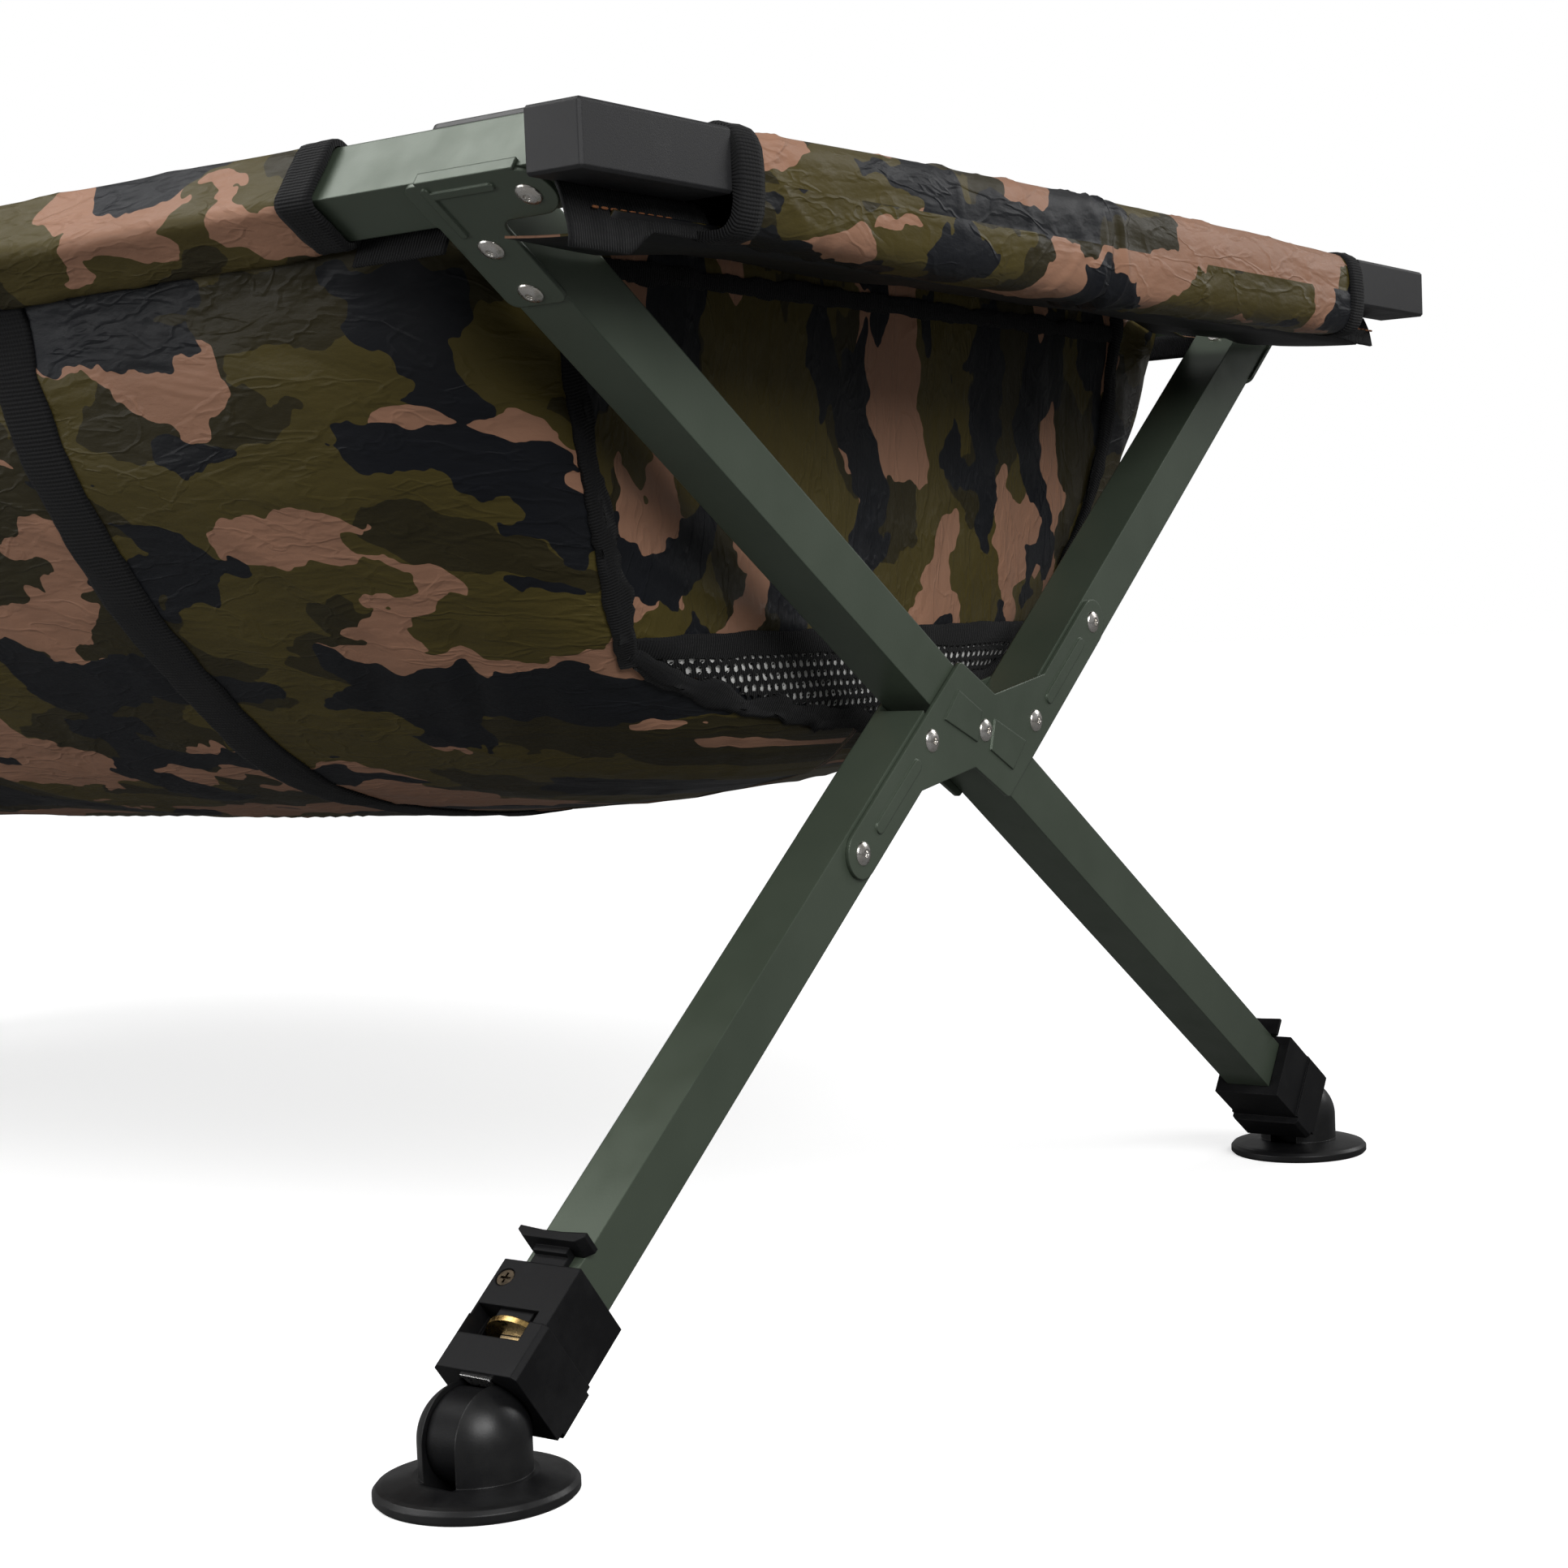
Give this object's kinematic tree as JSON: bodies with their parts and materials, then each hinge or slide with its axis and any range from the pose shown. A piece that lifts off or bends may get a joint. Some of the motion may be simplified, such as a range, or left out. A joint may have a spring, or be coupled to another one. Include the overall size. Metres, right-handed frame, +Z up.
{
  "type": "folding cot",
  "caption": "Low folding cot on scissor X legs with telescopic swivel feet, folding end bars and a deep camouflage fabric sling hung between two side rails.",
  "frame": {"origin": "on the ground under the centre of the cot", "axes": "+X along the cot to its front end, +Y to the right-hand rail as seen from the front end, +Z up"},
  "size_m": [1.2, 0.6626, 0.4266],
  "materials": {
    "green_tube": "satin powder coat",
    "green_plate": "satin powder coat",
    "black_plate": "satin",
    "black_plastic": "fine moulded grain",
    "foot_rubber": "moulded rubber",
    "nickel": "bright",
    "brass": "satin",
    "steel": "zinc plated",
    "bar_metal": "mill finish",
    "camo_fabric": "coated polyester, woodland print",
    "black_webbing": "woven tape"
  },
  "bodies": {
    "left_frame": {"left_rail": "green_tube", "front_long_leg": "green_tube", "rear_long_leg": "green_tube", "left_outer_brackets": "green_plate", "left_inner_brackets": "black_plate", "left_corner_caps": "black_plastic", "left_frame_rivets": "nickel", "left_frame_screws": "brass", "front_right_housing": "black_plastic", "rear_right_housing": "black_plastic", "sling": "camo_fabric", "left_rail_sleeve": "camo_fabric", "end_sleeves": "camo_fabric", "webbing_straps": "black_webbing"},
    "right_frame": {"right_rail": "green_tube", "front_upper_arm": "green_tube", "rear_upper_arm": "green_tube", "front_lower_arm": "green_tube", "rear_lower_arm": "green_tube", "front_outer_plate": "green_plate", "front_inner_plate": "green_plate", "rear_outer_plate": "green_plate", "rear_inner_plate": "green_plate", "right_outer_brackets": "green_plate", "right_inner_brackets": "black_plate", "right_corner_caps": "black_plastic", "right_frame_rivets": "nickel", "crossing_pivots": "nickel", "right_frame_screws": "brass", "front_left_housing": "black_plastic", "rear_left_housing": "black_plastic", "right_rail_sleeve": "camo_fabric"},
    "front_left_bar": {"front_left_bar": "bar_metal"},
    "front_right_bar": {"front_right_bar": "bar_metal"},
    "rear_left_bar": {"rear_left_bar": "bar_metal"},
    "rear_right_bar": {"rear_right_bar": "bar_metal"},
    "front_left_release": {"front_left_slider": "black_plastic", "front_left_lock_plate": "brass"},
    "front_left_extension": {"front_left_inner_leg": "steel", "front_left_knuckle": "black_plastic"},
    "front_left_foot": {"front_left_foot_pad": "foot_rubber", "front_left_foot_pin": "steel"},
    "front_right_release": {"front_right_slider": "black_plastic", "front_right_lock_plate": "brass"},
    "front_right_extension": {"front_right_inner_leg": "steel", "front_right_knuckle": "black_plastic"},
    "front_right_foot": {"front_right_foot_pad": "foot_rubber", "front_right_foot_pin": "steel"},
    "rear_left_release": {"rear_left_slider": "black_plastic", "rear_left_lock_plate": "brass"},
    "rear_left_extension": {"rear_left_inner_leg": "steel", "rear_left_knuckle": "black_plastic"},
    "rear_left_foot": {"rear_left_foot_pad": "foot_rubber", "rear_left_foot_pin": "steel"},
    "rear_right_release": {"rear_right_slider": "black_plastic", "rear_right_lock_plate": "brass"},
    "rear_right_extension": {"rear_right_inner_leg": "steel", "rear_right_knuckle": "black_plastic"},
    "rear_right_foot": {"rear_right_foot_pad": "foot_rubber", "rear_right_foot_pin": "steel"}
  },
  "joints": [
    {"name": "fold", "type": "hinge", "parent": "left_frame", "child": "right_frame", "pos_m": [0, -0.00077, 0.22193], "axis": [1, 0, 0], "range_deg": [0, 95], "deforming": ["sling", "end_sleeves", "webbing_straps"]},
    {"name": "front_left_bar_hinge", "type": "hinge", "parent": "left_frame", "child": "front_left_bar", "pos_m": [0.594, -0.226, 0.4095], "axis": [1, 0, 0], "range_deg": [-40, 0]},
    {"name": "front_right_bar_hinge", "type": "hinge", "parent": "right_frame", "child": "front_right_bar", "pos_m": [0.586, 0.226, 0.4095], "axis": [1, 0, 0], "range_deg": [0, 40]},
    {"name": "rear_left_bar_hinge", "type": "hinge", "parent": "left_frame", "child": "rear_left_bar", "pos_m": [-0.594, -0.226, 0.4095], "axis": [1, 0, 0], "range_deg": [-40, 0]},
    {"name": "rear_right_bar_hinge", "type": "hinge", "parent": "right_frame", "child": "rear_right_bar", "pos_m": [-0.586, 0.226, 0.4095], "axis": [1, 0, 0], "range_deg": [0, 40]},
    {"name": "front_left_extend", "type": "slide", "parent": "right_frame", "child": "front_left_extension", "axis": [0, -0.7883, -0.6153], "range_m": [0, 0.06]},
    {"name": "front_left_release_slide", "type": "slide", "parent": "right_frame", "child": "front_left_release", "axis": [0, -0.7883, -0.6153], "range_m": [0, 0.004], "stiffness_N_per_m": 800, "springref_m": -0.002},
    {"name": "front_left_swivel", "type": "hinge", "parent": "front_left_extension", "child": "front_left_foot", "pos_m": [0.528, -0.2988, 0.018], "axis": [1, 0, 0], "range_deg": [-45, 4]},
    {"name": "front_right_extend", "type": "slide", "parent": "left_frame", "child": "front_right_extension", "axis": [0, 0.8266, -0.5627], "range_m": [0, 0.06]},
    {"name": "front_right_release_slide", "type": "slide", "parent": "left_frame", "child": "front_right_release", "axis": [0, 0.8266, -0.5627], "range_m": [0, 0.004], "stiffness_N_per_m": 800, "springref_m": -0.002},
    {"name": "front_right_swivel", "type": "hinge", "parent": "front_right_extension", "child": "front_right_foot", "pos_m": [0.528, 0.2988, 0.018], "axis": [-1, 0, 0], "range_deg": [-45, 4]},
    {"name": "rear_left_extend", "type": "slide", "parent": "right_frame", "child": "rear_left_extension", "axis": [0, -0.7883, -0.6153], "range_m": [0, 0.06]},
    {"name": "rear_left_release_slide", "type": "slide", "parent": "right_frame", "child": "rear_left_release", "axis": [0, -0.7883, -0.6153], "range_m": [0, 0.004], "stiffness_N_per_m": 800, "springref_m": -0.002},
    {"name": "rear_left_swivel", "type": "hinge", "parent": "rear_left_extension", "child": "rear_left_foot", "pos_m": [-0.528, -0.2988, 0.018], "axis": [1, 0, 0], "range_deg": [-45, 4]},
    {"name": "rear_right_extend", "type": "slide", "parent": "left_frame", "child": "rear_right_extension", "axis": [0, 0.8266, -0.5627], "range_m": [0, 0.06]},
    {"name": "rear_right_release_slide", "type": "slide", "parent": "left_frame", "child": "rear_right_release", "axis": [0, 0.8266, -0.5627], "range_m": [0, 0.004], "stiffness_N_per_m": 800, "springref_m": -0.002},
    {"name": "rear_right_swivel", "type": "hinge", "parent": "rear_right_extension", "child": "rear_right_foot", "pos_m": [-0.528, 0.2988, 0.018], "axis": [-1, 0, 0], "range_deg": [-45, 4]}
  ],
  "couplings": [
    {"joint": "front_left_bar_hinge", "follows": "fold", "ratio": -0.4084},
    {"joint": "front_right_bar_hinge", "follows": "fold", "ratio": 0.4084},
    {"joint": "rear_left_bar_hinge", "follows": "fold", "ratio": -0.4084},
    {"joint": "rear_right_bar_hinge", "follows": "fold", "ratio": 0.4084}
  ]
}
